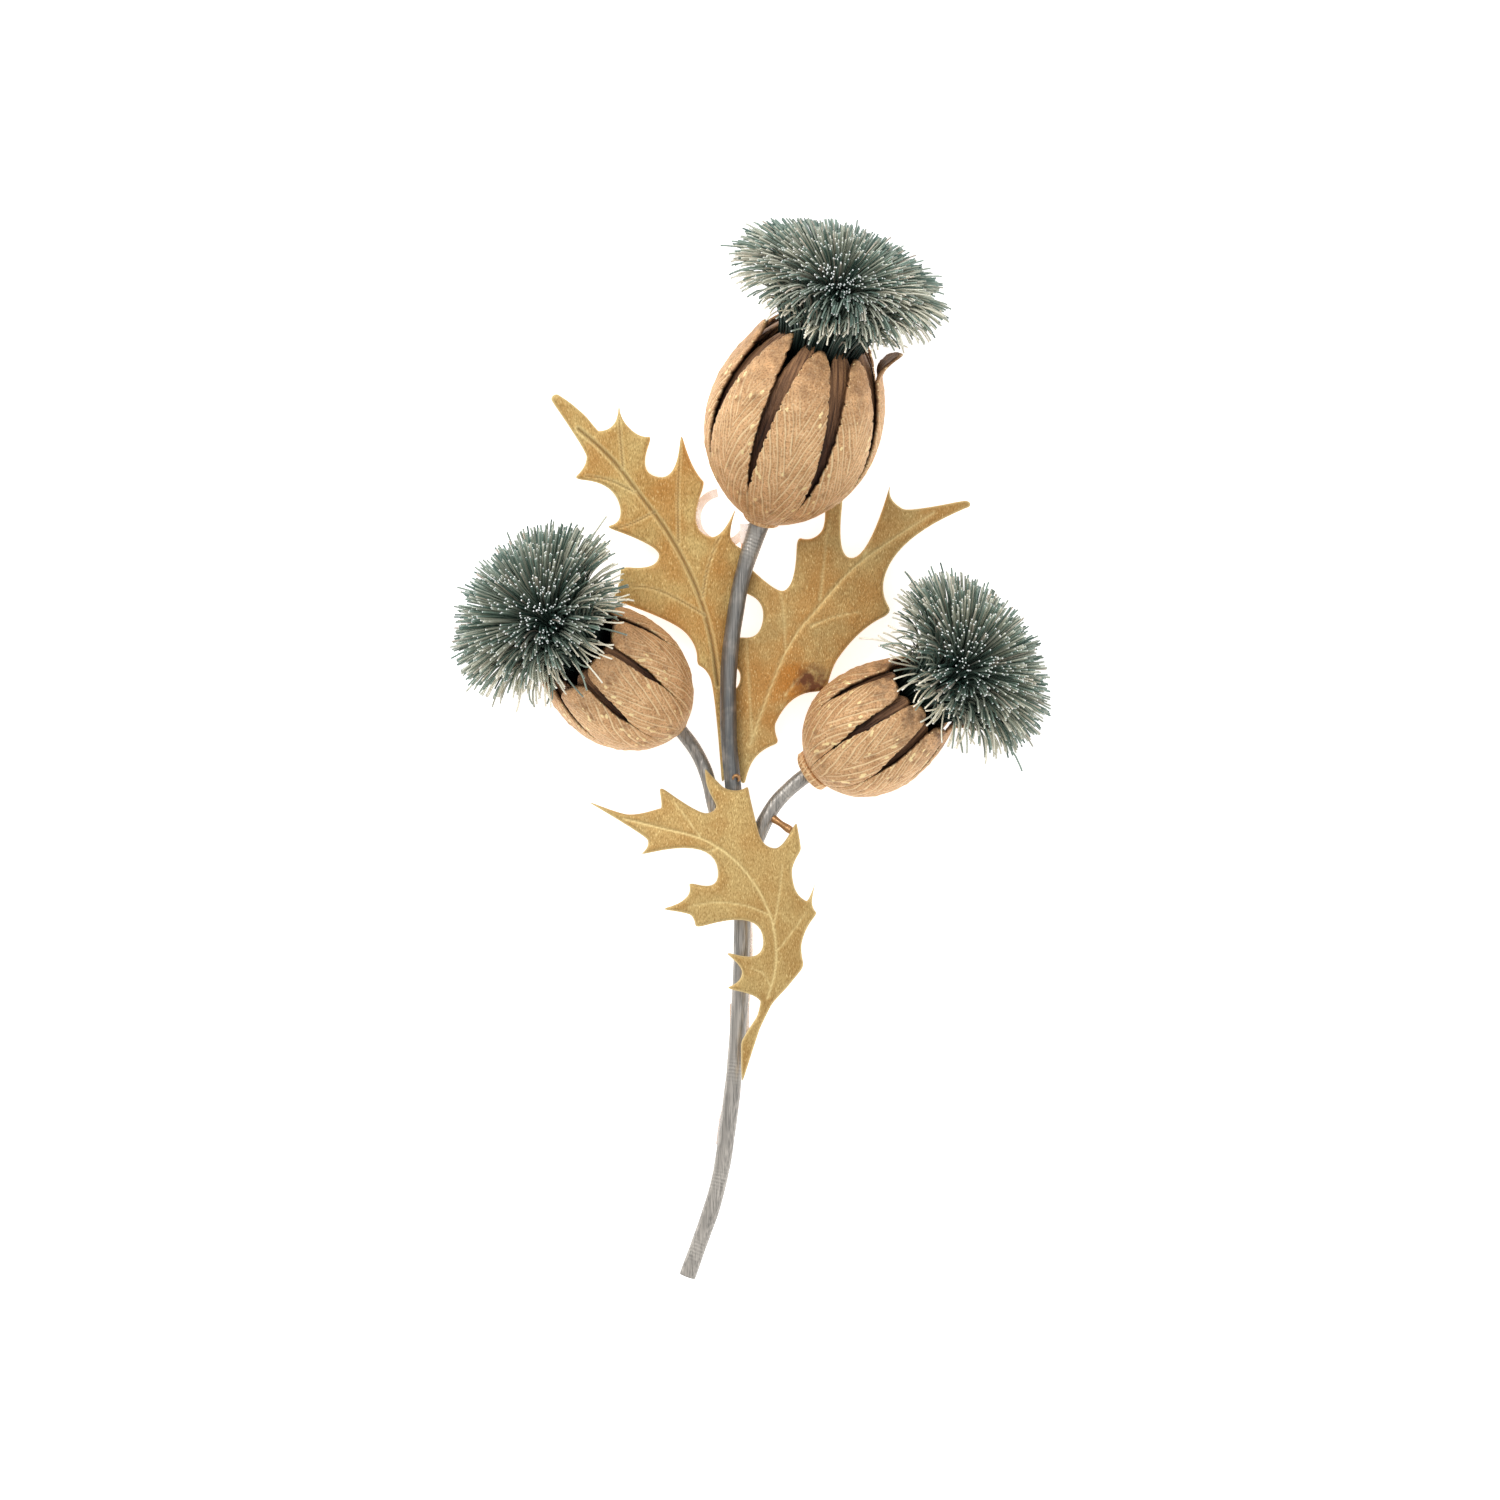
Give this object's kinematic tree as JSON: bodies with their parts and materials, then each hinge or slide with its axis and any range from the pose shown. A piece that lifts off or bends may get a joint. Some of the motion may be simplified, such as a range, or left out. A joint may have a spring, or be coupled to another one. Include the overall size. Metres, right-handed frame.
{
  "type": "thistle brooch",
  "caption": "Metal brooch shaped as a spray of thistles: bulbs of slit bracts with wire tufts and lobed leaves on a forked stem, with a plain pin on the back.",
  "frame": {"origin": "centre of the footprint of the whole brooch, on the surface it lies on with its back down", "axes": "+Y up the stem toward the largest head, +Z out of the front, +X to the right seen from the front"},
  "size_m": [0.0574, 0.1012, 0.025],
  "materials": {
    "stem_silver": "oxidised silver, brushed lengthwise",
    "rose_gold": "matt engraved rose gold",
    "yellow_gold": "matt engraved yellow gold",
    "tuft_wire": "dark oxidised silver wire with bright cut ends",
    "pin_metal": "pale polished gold"
  },
  "bodies": {
    "root": {"stems": "stem_silver", "main_calyx": "rose_gold", "left_calyx": "rose_gold", "right_calyx": "rose_gold", "main_tuft": "tuft_wire", "left_tuft": "tuft_wire", "right_tuft": "tuft_wire", "upper_left_leaf": "yellow_gold", "upper_right_leaf": "yellow_gold", "lower_leaf": "yellow_gold", "pin": "pin_metal"}
  },
  "joints": []
}
